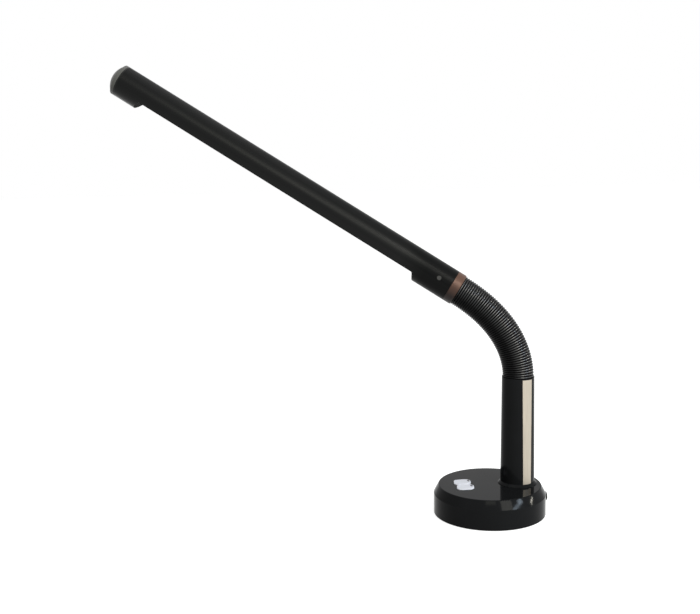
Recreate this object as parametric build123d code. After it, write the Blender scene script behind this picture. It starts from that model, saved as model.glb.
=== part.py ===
from build123d import *

import math
import os

# A desk lamp: a round weighted base with two keys, a tapered column, a ribbed flexible neck and a
# long tube head whose underside is cut flat for the light.
# Frame: the origin is the centre of the base's underside on the table, +Z is up, -X is the front
# of the base (the keys) and +X its back (the column and the power inlet). Millimetres.

# ------------------------------------------------------------------ driving dimensions: base
base_radius = 60.0          # outside of the upright wall
wall_top = 21.7             # height where the wall ends and the bevel starts
base_top = 31.3             # height of the flat top
bevel_run = 5.2             # the flat top's edge stands this far inside the wall
bevel_bulge = 0.1           # how far the bevel bows out from a straight cone
bevel_corner = 1.0          # fillets where the bevel meets the wall and the flat
shell_wall = 2.4            # moulded wall of the cover
roof_thickness = 2.6        # top of the cover, under the flat
wall_lift = 0.4             # the cover's rim stands this high above the table
pad_thickness = 1.2
pad_inset = 4.0             # the pad's edge, and below the ballast's, from the wall's outside
plate_thickness = 2.0
ballast_inset = 10.0
ballast_thickness = 12.0
boss_inset = 13.5           # circle of the four cover bosses, from the wall's outside
boss_angle = 60.0           # bosses stand at plus and minus this angle from X, front and back
boss_radius = 4.0
cover_screw_radius = 1.5
cover_screw_head_radius = 3.0
cover_screw_head_height = 1.0
thread_bite = 8.0           # how deep a cover screw goes into its boss

# ------------------------------------------------------------------ driving dimensions: keys
key_length = 18.7           # front to back
key_width = 16.0            # at the widest
key_front_width = 13.4      # at the front end
key_pitch = 16.8            # between the two keys' centres
key_inset = 31.8            # middle of the keys, from the wall's outside at the front
key_gap = 0.45              # round a key in the roof; the two keys share one opening
key_proud = 0.9             # how far a key stands above the flat top
key_edge = 0.7              # softened top edge
key_lip = 1.1               # retaining lip below the roof, both its width and its thickness
key_travel = 0.8
key_skew = 2.8              # near corners this far in front of the far ones
key_dot_radius = 1.4        # half length of the oval mark
key_dot_reach = 2.8         # and half its width across the key
key_dot_depth = 0.5
key_dot_back = 7.0          # dot's centre behind the key's centre
key_dot_side = 2.2          # and off its centreline
stem_radius = 1.7           # stem under a key and the switch's plunger below it
board_length = 30.0
board_width = 56.0
board_thickness = 1.6
board_height = 18.0         # underside of the control board above the table
board_boss_radius = 2.6
board_boss_inset = 3.4      # centre of a board boss from the board's edge
board_screw_radius = 1.0
board_screw_head_radius = 2.0
board_screw_head_height = 1.2
switch_size = 6.0
switch_height = 3.5
plunger_rise = 1.0          # plunger above the switch's case

# ------------------------------------------------------------------ driving dimensions: inlet
inlet_height = 14.4         # centre of the power inlet above the table
inlet_flange_radius = 4.8
inlet_proud = 2.8           # flange in front of the wall
inlet_barrel_radius = 3.6
inlet_body_radius = 5.0
inlet_body_length = 5.0
inlet_mouth_radius = 3.1    # takes a 5.5 mm plug with room
inlet_mouth_depth = 3.0
inlet_bore_radius = 2.85
inlet_bore_depth = 9.5
inlet_pin_radius = 1.0
inlet_nut_flats = 11.0
inlet_nut_thickness = 2.2

# ------------------------------------------------------------------ driving dimensions: column
column_inset = 29.6         # column's axis, from the wall's outside at the back
column_foot_radius = 18.25
column_top_radius = 17.25
column_top = 147.6          # height of the tube's rim, under the cap
column_wall = 2.4
column_floor = 3.0
flange_radius = 20.9        # sloping skirt round the foot
flange_height = 2.9
flange_edge = 0.5           # upright edge of the skirt
strip_azimuth = -68.5       # middle of the trim strip, from +X about +Z
strip_foot_width = 9.9
strip_top_width = 11.6
strip_thickness = 1.0
cap_thickness = 1.2         # flange of the cap that covers the rim
cap_depth = 12.0            # how deep the cap goes into the tube
cap_floor = 2.2
collar_radius = 13.9        # the sleeve slips over this collar
collar_height = 3.5
post_radius = 5.0           # hollow threaded post from base to neck
post_bore_radius = 3.2
post_below_roof = 8.5
nut_flats = 17.0
nut_thickness = 5.0
washer_radius = 11.0
washer_thickness = 1.5
ferrule_radius = 9.0
ferrule_grip = 6.0          # how far the post goes into the ferrule

# ------------------------------------------------------------------ driving dimensions: neck
neck_length = 116.9         # along the centreline, from the cap to the ring
foot_bend_radius = 73.8     # centreline radius where the neck leaves the column
head_bend_radius = 264.1    # and where it meets the ring; it opens evenly in between
neck_azimuth = 165.3        # direction that the neck leans, from +X about +Z
sleeve_radius = 16.5        # over the ribs
rib_depth = 1.5
rib_count = 48
rib_crest = 0.34            # share of a rib's pitch that its crest takes
sleeve_bore_radius = 14.2
link_count = 12             # hinges that stand for the bending core
core_radius = 6.5
core_gap = 0.4              # between neighbouring sections, on the axis
core_bevel = 10.0           # degrees that a section's end face leans back
lead_radius = 1.4
lead_room = 0.4             # round the lead in the core's bore
lead_run = 6.0              # straight stretch of a lead where it is soldered
lead_climb = 12.8           # along X, from a lead's low run up to the control board
inlet_lead_side = 2.0       # the leads' places across the base, from its middle
inlet_lead_end = 12.0
column_lead_end = -10.0
inlet_lead_bend = 4.0       # radius of the inlet lead's bends

# ------------------------------------------------------------------ driving dimensions: head
ring_length = 9.2
ring_radius = 17.3
head_radius = 17.3
head_wall = 2.0
housing_length = 413.9
cut_depth = 9.8             # flat underside, measured in from the full round
neck_round_length = 37.9    # full-round end at the neck
far_round_length = 24.3     # full-round end at the tip
cut_slope = 25.0            # degrees that the cut's end walls lean from upright
cut_corner = 2.0            # fillet where an end wall meets the flat
cap_rise = 12.2             # cap beyond the housing
dome_edge = 4.9             # the cap's straight band before its dome
dome_step = 0.7             # the dome starts this far inside the band
housing_edge = 0.4          # chamfer on the housing's neck end
spigot_length = 7.0
lip_width = 1.6             # rails along the window that carry the diffuser
lip_thickness = 1.0
diffuser_thickness = 1.3
diffuser_recess = 0.2
carrier_thickness = 2.0
carrier_leg = 1.4
led_board_width = 20.0
led_board_thickness = 1.2
led_pitch = 11.0
led_length = 3.5
led_width = 2.8
led_height = 0.8
socket_length = 32.0        # plug in the housing that grips the neck
head_screw_set = 14.8       # screw from the housing's neck end
head_screw_lift = 10.0      # degrees that the screws sit above the head's mid-height
head_screw_recess = 2.9     # radius of the hole round the screw's head
head_screw_head = 2.3
head_screw_head_height = 1.5
head_screw_slot = 0.7        # width and depth of the driver's slot
head_screw_radius = 1.3
head_screw_length = 6.0      # shank, through the socket into the ferrule

# ------------------------------------------------------------------ fits
clear = 0.3                 # between pieces that are seated but not tight
slip = 0.05                 # radial clearance of a pin or thread in its hole
over = 1.0                  # how far a cutting solid runs past what it cuts

# ------------------------------------------------------------------ places worked out from these
top_radius = base_radius - bevel_run
pad_radius = base_radius - pad_inset
ballast_radius = base_radius - ballast_inset
boss_circle = base_radius - boss_inset
key_centre = base_radius - key_inset           # keys in front of the base's centre
column_x = base_radius - column_inset          # column behind it
roof_under = base_top - roof_thickness
plate_top = pad_thickness + plate_thickness
ballast_top = plate_top + ballast_thickness
board_top = board_height + board_thickness
cap_top = column_top + cap_thickness
cut_plane = head_radius - cut_depth            # flat underside from the head's axis
bore_radius = head_radius - head_wall          # inside of the housing
post_end = roof_under - post_below_roof
core_bore_radius = lead_radius + lead_room


def disc(radius, height, z=0.0, x=0.0, y=0.0):
    """An upright cylinder that stands on height z."""
    return Pos(x, y, z) * Cylinder(radius, height, align=(Align.CENTER, Align.CENTER, Align.MIN))


def block(length, width, height, z=0.0, x=0.0, y=0.0):
    """A box centred on x and y that stands on height z."""
    return Pos(x, y, z) * Box(length, width, height, align=(Align.CENTER, Align.CENTER, Align.MIN))


def turned(points):
    """A solid turned about the Z axis from (radius, height) points."""
    return revolve(Plane.XZ * make_face(Polyline(*points, close=True)), Axis.Z)


def screw(shank_radius, shank_length, head_radius, head_height):
    """A screw whose head's underside lies at z = 0, with its shank upwards."""
    return disc(shank_radius, shank_length) + disc(head_radius, head_height, z=-head_height)


def boss_places():
    """Where the four cover bosses stand."""
    angles = [boss_angle, 180 - boss_angle, 180 + boss_angle, -boss_angle]
    return [(boss_circle * math.cos(math.radians(a)), boss_circle * math.sin(math.radians(a))) for a in angles]


# ------------------------------------------------------------------ keys
def key_outline(grow=0.0):
    """A key seen from above: tapered at the front, rounded at the back, its ends skewed."""
    half, nose, side = key_length / 2, key_front_width / 2, key_width / 2
    points = [(-half, -nose), (-half * 0.3, -side), (half, -side), (half, side), (-half * 0.3, side), (-half, nose)]
    face = make_face(Polyline(*[(x + key_skew * y / key_width, y) for x, y in points], close=True))
    back = face.vertices().sort_by(Axis.X)[-2:]
    face = fillet(back, key_width * 0.38)
    face = fillet(face.vertices().sort_by(Axis.X)[:2], key_width * 0.24)
    return offset(face, grow, kind=Kind.INTERSECTION) if grow else face


def key_place(side):
    """Centre of one key: side is +1 for the far one (+Y) and -1 for the near one."""
    return Pos(-key_centre, side * key_pitch / 2, 0)


def key_cap(side):
    """One key: cap through the roof, retaining lip below it and a stem down to the switch."""
    top = base_top + key_proud
    cap = Pos(0, 0, roof_under) * extrude(key_outline(), top - roof_under)
    cap = fillet(cap.faces().sort_by(Axis.Z)[-1].edges(), key_edge)
    plunger_top = board_top + switch_height + plunger_rise
    lip_wide = (key_length + 2 * key_lip, key_width - 2 * key_edge)
    lip = block(*lip_wide, key_lip, z=roof_under - clear - key_lip)
    neck = block(key_length - 4 * key_lip, key_width - 4 * key_lip, clear + key_lip, z=roof_under - clear)
    stem = disc(stem_radius, roof_under - clear - key_lip - plunger_top, z=plunger_top)
    dot = extrude(Ellipse(key_dot_radius, key_dot_reach), over)
    dot = Pos(key_dot_back, key_dot_side, top - key_dot_depth) * dot
    return key_place(side) * (cap + neck + lip + stem - dot)


def plunger(side):
    """The switch's plunger, which goes down with its key."""
    top = board_top + switch_height + plunger_rise
    foot = board_top + clear + key_travel + clear
    return key_place(side) * disc(stem_radius, top - foot, z=foot)


def tact_switches():
    """Two square switch cases on the board, with the plungers' holes."""
    case = block(switch_size, switch_size, switch_height, z=board_top)
    case -= disc(stem_radius + clear, switch_height, z=board_top + clear)
    return Compound(children=[key_place(side) * case for side in (1, -1)])


# ------------------------------------------------------------------ control board
def board_boss_places():
    """Two bosses hold the board, one beyond each key."""
    return [(-key_centre, side * (board_width / 2 - board_boss_inset)) for side in (1, -1)]


def control_board():
    """Printed board under the keys."""
    board = block(board_length, board_width, board_thickness, z=board_height, x=-key_centre)
    for x, y in board_boss_places():
        board -= disc(board_screw_radius + slip, 3 * board_thickness, z=board_height - over, x=x, y=y)
    return board


def board_components():
    """Choke, capacitor and driver chip soldered to the board between and beside the switches."""
    inner_edge = -key_centre + board_length / 2
    choke = disc(3.6, 4.0, z=board_top, x=inner_edge - 5.0)
    capacitor = disc(2.5, 5.0, z=board_top, x=-key_centre - board_length / 2 + 4.0)
    chip = block(5.0, 4.0, 1.5, z=board_top, x=-key_centre)
    return Compound(children=[choke, capacitor, chip])


def board_screws():
    """Two screws that hold the board up to the cover's bosses."""
    one = screw(board_screw_radius, board_thickness + 5.0, board_screw_head_radius, board_screw_head_height)
    return Compound(children=[Pos(x, y, board_height) * one for x, y in board_boss_places()])


# ------------------------------------------------------------------ base
def cover_outline(inset, top, radius):
    """Half profile of the cover: wall, bowed bevel and flat, moved in by inset."""
    wall, edge = base_radius - inset, radius - inset
    middle = ((wall + edge) / 2 + bevel_bulge, (wall_top + top) / 2 + bevel_bulge)
    line = Line((0, wall_lift - inset), (wall, wall_lift - inset))
    line += Line((wall, wall_lift - inset), (wall, wall_top))
    line += ThreePointArc((wall, wall_top), middle, (edge, top))
    line += Line((edge, top), (0, top)) + Line((0, top), (0, wall_lift - inset))
    side = make_face(line)
    corners = [corner for corner in side.vertices() if corner.X > over and corner.Y > wall_lift + over]
    return revolve(Plane.XZ * fillet(corners, bevel_corner), Axis.Z)


def base_cover():
    """Moulded cover: wall, bevel and top in one shell, with bosses hanging from its roof."""
    cover = cover_outline(0, base_top, top_radius) - cover_outline(shell_wall, roof_under, top_radius)
    for x, y in boss_places():
        cover += disc(boss_radius, roof_under - ballast_top - clear, z=ballast_top + clear, x=x, y=y)
    for x, y in board_boss_places():
        cover += disc(board_boss_radius, roof_under - board_top, z=board_top, x=x, y=y)
    for x, y in boss_places():
        cover -= disc(cover_screw_radius + slip, thread_bite + over, z=ballast_top + clear - over, x=x, y=y)
    for x, y in board_boss_places():
        cover -= disc(board_screw_radius + slip, 5.0 + clear + over, z=board_top - over, x=x, y=y)
    for side in (1, -1):
        opening = extrude(key_outline(key_gap), roof_thickness + 2 * over)
        cover -= key_place(side) * Pos(0, 0, roof_under - over) * opening
    cover -= disc(post_radius + slip, roof_thickness + 2 * over, z=roof_under - over, x=column_x)
    hole = Cylinder(inlet_barrel_radius + slip, 4 * shell_wall, rotation=(0, 90, 0))
    return cover - Pos(base_radius - shell_wall / 2, 0, inlet_height) * hole


def base_plate():
    """Flat plate that closes the cover from below, countersunk for the four screws."""
    plate = disc(base_radius - shell_wall - clear, plate_thickness, z=pad_thickness)
    for x, y in boss_places():
        plate -= disc(cover_screw_radius + slip, 2 * plate_thickness, z=pad_thickness - over, x=x, y=y)
        head_room = cover_screw_head_height + over
        plate -= disc(cover_screw_head_radius + clear, head_room, z=pad_thickness - over, x=x, y=y)
    return plate


def base_pad():
    """Soft non-slip pad stuck under the plate, over the screws."""
    return disc(pad_radius, pad_thickness)


def ballast():
    """Steel weight on the plate, drilled for the screws and notched for the power inlet."""
    weight = disc(ballast_radius, ballast_thickness, z=plate_top)
    weight = chamfer(weight.edges().group_by(Axis.Z)[-1], 1.0)
    for x, y in boss_places():
        weight -= disc(cover_screw_radius + 2 * clear, 2 * ballast_thickness, z=plate_top - over, x=x, y=y)
    room = inlet_body_radius + 3 * clear
    notch_length = base_radius - inlet_body_back() + 3 * clear
    notch = block(2 * notch_length, 2 * room, ballast_thickness, z=inlet_height - room, x=base_radius)
    return weight - notch


def base_screws():
    """Four long screws from the plate through the ballast into the cover's bosses."""
    seat = pad_thickness + cover_screw_head_height
    reach = ballast_top + clear + thread_bite - clear - seat
    one = screw(cover_screw_radius, reach, cover_screw_head_radius, cover_screw_head_height)
    return Compound(children=[Pos(x, y, seat) * one for x, y in boss_places()])


# ------------------------------------------------------------------ power inlet
def along_x(solid, x, z):
    """Turns a solid built along +Z so that it runs along +X from x at height z."""
    return Pos(x, 0, z) * Rotation(0, 90, 0) * solid


def inlet_front():
    """Face of the inlet's flange."""
    return base_radius + inlet_proud


def inlet_body_back():
    """Back of the inlet's body, where its lead is soldered."""
    return inlet_front() - inlet_bore_depth - over - inlet_body_length


def dc_inlet():
    """Round socket: flange outside, barrel through the wall, body inside, stepped bore and pin."""
    barrel_end = inlet_front() - inlet_bore_depth - over
    barrel = disc(inlet_barrel_radius, inlet_front() - barrel_end)
    flange = Pos(0, 0, inlet_front() - barrel_end - inlet_proud) * disc(inlet_flange_radius, inlet_proud)
    flange = chamfer(flange.edges().group_by(Axis.Z)[-1], 0.5)
    body = disc(inlet_body_radius, inlet_body_length, z=-inlet_body_length)
    depth = inlet_front() - barrel_end
    bore = disc(inlet_bore_radius, inlet_bore_depth, z=depth - inlet_bore_depth)
    mouth = disc(inlet_mouth_radius, inlet_mouth_depth + over, z=depth - inlet_mouth_depth)
    pin_length = inlet_bore_depth - inlet_mouth_depth - clear
    pin = disc(inlet_pin_radius, pin_length, z=depth - inlet_bore_depth)
    return along_x(barrel + flange + body - bore - mouth + pin, barrel_end, inlet_height)


def inlet_nut():
    """Nut on the barrel that draws the flange to the wall."""
    nut = extrude(RegularPolygon(inlet_nut_flats / 2, 6, major_radius=False), inlet_nut_thickness)
    nut -= disc(inlet_barrel_radius + slip, inlet_nut_thickness)
    half_flat = inlet_nut_flats / 2
    inside = base_radius - shell_wall
    seat = math.sqrt(inside ** 2 - half_flat ** 2)
    return along_x(nut, seat - clear - inlet_nut_thickness, inlet_height)


# ------------------------------------------------------------------ column
def strip_band(depth, grow):
    """Upright band of the column's wall at the trim strip's place, to a depth and grown sideways."""
    foot = base_top + flange_height
    shell = [
        (column_foot_radius - depth, foot),
        (column_foot_radius, foot),
        (column_top_radius, column_top),
        (column_top_radius - depth, column_top),
    ]
    low, high = strip_foot_width / 2 + grow, strip_top_width / 2 + grow
    front = Polyline((-low, foot), (low, foot), (high, column_top), (-high, column_top), close=True)
    wedge = extrude(Plane.YZ * make_face(front), 2 * column_foot_radius)
    return Pos(column_x, 0, 0) * Rotation(0, 0, strip_azimuth) * (turned(shell) & wedge)


def trim_strip():
    """Brushed metal strip laid in the column's side, flush with it."""
    return strip_band(strip_thickness, 0)


def column():
    """Tapered tube with a skirt round its foot, a floor for the post and a bed for the strip."""
    foot = base_top + flange_height
    outside = [
        (0, base_top),
        (flange_radius, base_top),
        (flange_radius, base_top + flange_edge),
        (column_foot_radius, foot),
        (column_top_radius, column_top),
        (0, column_top),
    ]
    inside = [
        (0, base_top + column_floor),
        (column_foot_radius - column_wall, base_top + column_floor),
        (column_top_radius - column_wall, column_top + over),
        (0, column_top + over),
    ]
    tube = turned(outside) - turned(inside)
    tube -= disc(post_radius + slip, 2 * column_floor, z=base_top - over)
    return Pos(column_x, 0, 0) * tube - strip_band(strip_thickness + clear, clear / 2)


def column_cap():
    """Plug in the column's rim: flange over the rim, cup for the ferrule, collar for the sleeve."""
    plug_radius = column_top_radius - column_wall - clear
    foot = column_top - cap_depth
    cap = disc(plug_radius, cap_depth, z=foot) + disc(column_top_radius, cap_thickness, z=column_top)
    cap += disc(collar_radius, collar_height, z=cap_top)
    cap -= disc(ferrule_radius + slip, 2 * cap_depth, z=foot + cap_floor)
    cap -= disc(post_radius + slip, cap_depth, z=foot - over)
    return Pos(column_x, 0, 0) * cap


def neck_post():
    """Hollow threaded post that clamps the column to the base and carries the neck."""
    top = column_top - cap_depth + cap_floor + ferrule_grip
    post = disc(post_radius, top - post_end, z=post_end)
    post -= disc(post_bore_radius, top - post_end + 2 * over, z=post_end - over)
    return Pos(column_x, 0, 0) * post


def post_washer():
    """Washer under the cover's roof."""
    washer = disc(washer_radius, washer_thickness, z=roof_under - washer_thickness)
    return Pos(column_x, 0, 0) * (washer - disc(post_radius + slip, roof_under, z=post_end))


def post_nut():
    """Hexagon nut that clamps cover and column together."""
    top = roof_under - washer_thickness
    nut = extrude(RegularPolygon(nut_flats / 2, 6, major_radius=False), nut_thickness)
    nut = Pos(0, 0, top - nut_thickness) * nut
    return Pos(column_x, 0, 0) * (nut - disc(post_radius + slip, roof_under, z=post_end))


# ------------------------------------------------------------------ neck: the centreline
def neck_lean(s):
    """Angle from upright of the centreline at length s, in radians. Its curvature opens evenly."""
    foot, head = 1 / foot_bend_radius, 1 / head_bend_radius
    return foot * s + (head - foot) * s * s / (2 * neck_length)


def neck_plane(s):
    """Plane across the neck at length s: Z along it, X to the inside of the bend, Y sideways."""
    steps = 240
    forward = rise = 0.0
    for i in range(steps):
        lean = neck_lean(s * (i + 0.5) / steps)
        forward += math.sin(lean) * s / steps
        rise += math.cos(lean) * s / steps
    turn = math.radians(neck_azimuth)
    ahead = Vector(math.cos(turn), math.sin(turn), 0)
    up = Vector(0, 0, 1)
    lean = neck_lean(s)
    along = ahead * math.sin(lean) + up * math.cos(lean)
    inward = ahead * math.cos(lean) - up * math.sin(lean)
    return Plane(Vector(column_x, 0, cap_top) + ahead * forward + up * rise, x_dir=inward, z_dir=along)


def hinge_length(i):
    """Where hinge i of the core stands along the centreline."""
    return neck_length * (i + 0.5) / link_count


# ------------------------------------------------------------------ neck: its pieces
def tube_along(places):
    """A solid through round sections: places is a list of (length, radius) along the centreline."""
    wires = [neck_plane(s) * Wire.make_circle(radius) for s, radius in places]
    return Solid.make_loft(wires, ruled=True)


def neck_sleeve():
    """One-piece ribbed sleeve: every rib has a flat crest and two flanks down to the groove."""
    pitch = neck_length / rib_count
    root = sleeve_radius - rib_depth
    flank = (1 - rib_crest) / 2
    ribs = [(0.0, root)]
    for i in range(rib_count):
        start = i * pitch
        ribs += [(start + flank * pitch, sleeve_radius), (start + (1 - flank) * pitch, sleeve_radius)]
        ribs += [(start + pitch, root)]
    bore = [(neck_length * i / link_count, sleeve_bore_radius) for i in range(link_count + 1)]
    return tube_along(ribs) - tube_along(bore)


def end_face(radius):
    """How far a core section's bevelled end lies behind its hinge, at a radius."""
    return core_gap / 2 + radius * math.tan(math.radians(core_bevel))


def core_section(i):
    """Stretch of the wound steel core between hinge i and the next, straight along its chord."""
    start = neck_plane(hinge_length(i))
    finish = neck_plane(hinge_length(i + 1)).origin
    chord = finish - start.origin
    length = chord.length
    profile = [
        (core_bore_radius, end_face(core_bore_radius)),
        (core_radius, end_face(core_radius)),
        (core_radius, length - end_face(core_radius)),
        (core_bore_radius, length - end_face(core_bore_radius)),
    ]
    return Plane(start.origin, x_dir=start.x_dir, z_dir=chord.normalized()) * turned(profile)


def lower_ferrule():
    """Steel ferrule in the cap: takes the post below and ends as the core's first stretch."""
    seat = column_top - cap_depth + cap_floor
    hinge = cap_top + hinge_length(0)
    profile = [
        (0, seat),
        (ferrule_radius, seat),
        (ferrule_radius, cap_top),
        (core_radius, cap_top),
        (core_radius, hinge - end_face(core_radius)),
        (core_bore_radius, hinge - end_face(core_bore_radius)),
        (0, hinge - end_face(core_bore_radius)),
    ]
    body = turned(profile) - disc(core_bore_radius, cap_depth + collar_height + 2 * over, z=seat)
    body -= disc(post_radius + slip, ferrule_grip, z=seat)
    return Pos(column_x, 0, 0) * body


# ------------------------------------------------------------------ head
# The head's pieces are built along +Z from the neck's end, with the underside towards +X.
def in_head(solid):
    """Moves a solid from the head's own frame to its place at the end of the neck."""
    return neck_plane(neck_length) * solid


def neck_ring():
    """Bronze ring between the sleeve and the housing."""
    ring = disc(ring_radius, ring_length)
    ring = chamfer(ring.edges().group_by(Axis.Z)[0], 0.4)
    return in_head(ring - disc(collar_radius - 2.0 + slip, ring_length + 2 * over, z=-over))


def upper_ferrule():
    """Steel ferrule at the core's upper end, gripped by the socket."""
    hinge = hinge_length(link_count - 1) - neck_length
    profile = [
        (core_bore_radius, hinge + end_face(core_bore_radius)),
        (core_radius, hinge + end_face(core_radius)),
        (core_radius, ring_length),
        (ferrule_radius, ring_length),
        (ferrule_radius, ring_length + socket_length / 2),
        (core_bore_radius, ring_length + socket_length / 2),
    ]
    ferrule = turned(profile)
    for angle in screw_sides():
        ferrule -= at_screw(angle, Cylinder(head_screw_radius + slip, 2 * (head_screw_length + clear)))
    return in_head(ferrule)


def screw_sides():
    """Directions of the two head screws, in degrees from the underside about the head's axis."""
    return [90 + head_screw_lift, -90 - head_screw_lift]


def socket_seat():
    """Distance from the head's axis to the flat that a screw's head sits on."""
    return bore_radius - clear - 1.0


def at_screw(angle, solid):
    """Turns a solid built along +Z from a screw's seat so that it points out of the head there."""
    seat = Pos(socket_seat(), 0, 0) * Rotation(0, 90, 0) * solid
    return Pos(0, 0, ring_length + head_screw_set) * Rotation(0, 0, angle) * seat


def head_socket():
    """Plug that fills the housing's neck end, passes through the ring and holds the ferrule."""
    plug = disc(bore_radius - clear, socket_length, z=ring_length)
    plug += disc(collar_radius - 2.0, ring_length)
    plug += disc(collar_radius, collar_height, z=-collar_height)
    plug -= disc(ferrule_radius + slip, socket_length / 2, z=ring_length)
    plug -= disc(core_radius + slip, ring_length + collar_height + 2 * over, z=-collar_height - over)
    plug -= disc(core_bore_radius, 2 * socket_length, z=ring_length)
    for angle in screw_sides():
        drill = Cylinder(head_screw_radius + slip, 2 * (head_screw_length + clear))
        plug -= at_screw(angle, drill + disc(head_screw_recess, 3 * over))
    return in_head(plug)


def cut_profile(depth, grow):
    """Side view of the underside cut, from the flat outwards, its end walls moved out by grow."""
    lean = math.tan(math.radians(cut_slope))
    outer = head_radius + over
    run = (head_radius - depth) * lean
    past = over * lean
    low, high = neck_round_length - grow, housing_length - far_round_length + grow
    points = [(depth, low + run), (outer, low - past), (outer, high + past), (depth, high - run)]
    return make_face(Plane.XZ * Polyline(*points, close=True))


def cut_solid(depth, grow, corner):
    """The underside cut as a solid across the whole head."""
    face = cut_profile(depth, grow)
    if corner:
        face = fillet(face.vertices().sort_by(Axis.X)[:2], corner)
    return Pos(0, head_radius + over, ring_length) * extrude(face, 2 * (head_radius + over))


def head_housing():
    """Long round tube, cut flat below for the light, with its end rounds closed by sloping walls."""
    tube = disc(head_radius, housing_length, z=ring_length)
    tube = chamfer(tube.edges().group_by(Axis.Z)[0], housing_edge)
    tube -= disc(bore_radius, housing_length + 2 * over, z=ring_length - over)
    cut = cut_solid(cut_plane, 0, cut_corner)
    closing = cut_solid(cut_plane, head_wall, cut_corner) - cut
    closing &= disc(head_radius - head_wall / 2, housing_length, z=ring_length)
    inner_edge = math.sqrt(bore_radius ** 2 - cut_plane ** 2) - lip_width
    rail_length = housing_length - neck_round_length - far_round_length
    rail_middle = ring_length + neck_round_length + rail_length / 2
    for side in (1, -1):
        rail = Box(lip_thickness, lip_width + head_wall / 2, rail_length)
        y = side * (inner_edge + (lip_width + head_wall / 2) / 2)
        tube += Pos(cut_plane - lip_thickness / 2, y, rail_middle) * rail
    housing = tube - cut + closing
    for angle in screw_sides():
        housing -= at_screw(angle, Cylinder(head_screw_recess, 4 * head_wall))
    return in_head(housing)


def head_screws():
    """Two screws from the sides that fix the housing's socket to the ferrule."""
    one = Rotation(180, 0, 0) * screw(head_screw_radius, head_screw_length, head_screw_head, head_screw_head_height)
    one -= block(head_screw_slot, 2 * head_screw_head, over, z=head_screw_head_height - head_screw_slot)
    return in_head(Compound(children=[at_screw(angle, one) for angle in screw_sides()]))


def window_ends():
    """Start and end of the flat window between the cut's end walls, in the head's frame."""
    run = (head_radius - cut_plane) * math.tan(math.radians(cut_slope))
    start = ring_length + neck_round_length + run + head_wall
    return start, ring_length + housing_length - far_round_length - run - head_wall


def window_bar(width, thickness, x, trim=0.0):
    """A bar along the window, thickness towards the head's inside from x."""
    start, finish = window_ends()
    length = finish - start - 2 * trim
    return Pos(x - thickness / 2, 0, (start + finish) / 2) * Box(thickness, width, length)


def diffuser_back():
    """Distance from the axis to the back of the diffuser."""
    return cut_plane - lip_thickness - clear - diffuser_thickness


def diffuser():
    """Milky cover: its flange lies on the rails and its face fills the window between them."""
    inner = math.sqrt(bore_radius ** 2 - cut_plane ** 2) - lip_width
    face = window_bar(2 * (inner - clear), lip_thickness + clear - diffuser_recess, cut_plane - diffuser_recess)
    edge = math.sqrt(bore_radius ** 2 - (cut_plane - lip_thickness - clear) ** 2) - clear
    flange = window_bar(2 * edge, diffuser_thickness, cut_plane - lip_thickness - clear)
    return in_head(face + flange)


def carrier_face():
    """Distance from the axis to the face of the carrier that the LED board lies on."""
    return diffuser_back() - clear - 3.0


def led_carrier():
    """Aluminium channel: its web carries the LED board and its legs stand on the diffuser."""
    width = 2 * (math.sqrt(bore_radius ** 2 - diffuser_back() ** 2) - 2 * clear)
    web = window_bar(width, carrier_thickness, carrier_face(), trim=clear)
    channel = web
    for side in (1, -1):
        leg = window_bar(carrier_leg, diffuser_back() - clear - carrier_face(), diffuser_back() - clear, trim=clear)
        channel += Pos(0, side * (width - carrier_leg) / 2, 0) * leg
    return in_head(channel)


def led_board():
    """Long printed board face to face with the carrier."""
    return in_head(window_bar(led_board_width, led_board_thickness, carrier_face() + led_board_thickness, 1.0))


def leds():
    """A row of LED packages along the board."""
    start, finish = window_ends()
    count = int((finish - start - 2 * led_length) // led_pitch) + 1
    first = (start + finish) / 2 - (count - 1) * led_pitch / 2
    x = carrier_face() + led_board_thickness + led_height / 2
    package = Box(led_height, led_width, led_length)
    return in_head(Compound(children=[Pos(x, 0, first + i * led_pitch) * package for i in range(count)]))


def head_cap():
    """Domed end: a band level with the housing, a dome that starts inside it, and a spigot."""
    end = ring_length + housing_length
    foot_radius = head_radius - dome_step
    rise = cap_rise - dome_edge
    sphere = (foot_radius ** 2 + rise ** 2) / (2 * rise)
    half = math.asin(foot_radius / sphere) / 2
    rim, tip = (foot_radius, end + dome_edge), (0, end + cap_rise)
    middle = (sphere * math.sin(half), end + cap_rise - sphere * (1 - math.cos(half)))
    band = Polyline(tip, (0, end), (head_radius, end), (head_radius, end + dome_edge), rim)
    cap = revolve(Plane.XZ * make_face(band + ThreePointArc(rim, middle, tip)), Axis.Z)
    cap += disc(bore_radius - clear, spigot_length, z=end - spigot_length)
    cap -= disc(bore_radius - clear - head_wall, spigot_length, z=end - spigot_length)
    return in_head(cap)


# ------------------------------------------------------------------ leads
def board_edge_end(y):
    """Last straight run of a lead, level with the control board and up to its edge."""
    edge = -key_centre + board_length / 2
    level = board_height + board_thickness / 2
    return [(edge + lead_run, y, level), (edge, y, level)]


def low_run_end(y):
    """Where a lead's low run over the ballast ends and its climb to the board starts."""
    edge = -key_centre + board_length / 2
    return edge + lead_climb, y, ballast_top + lead_radius + clear


def inlet_lead():
    """Lead from the inlet over the ballast, under the post, to the control board."""
    low = ballast_top + lead_radius + clear
    start = inlet_body_back()
    points = [(start, inlet_lead_side, low), (start - lead_run, inlet_lead_side, low)]
    return lead(points + [low_run_end(inlet_lead_end)] + board_edge_end(inlet_lead_end), inlet_lead_bend)


def column_lead():
    """Lead from the control board to the post's lower end and up to the neck."""
    low = ballast_top + lead_radius + clear
    first, second = board_edge_end(column_lead_end)
    points = [second, first, low_run_end(column_lead_end), (column_x, 0, low), (column_x, 0, cap_top)]
    return lead(points, post_end - low - clear)


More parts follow.
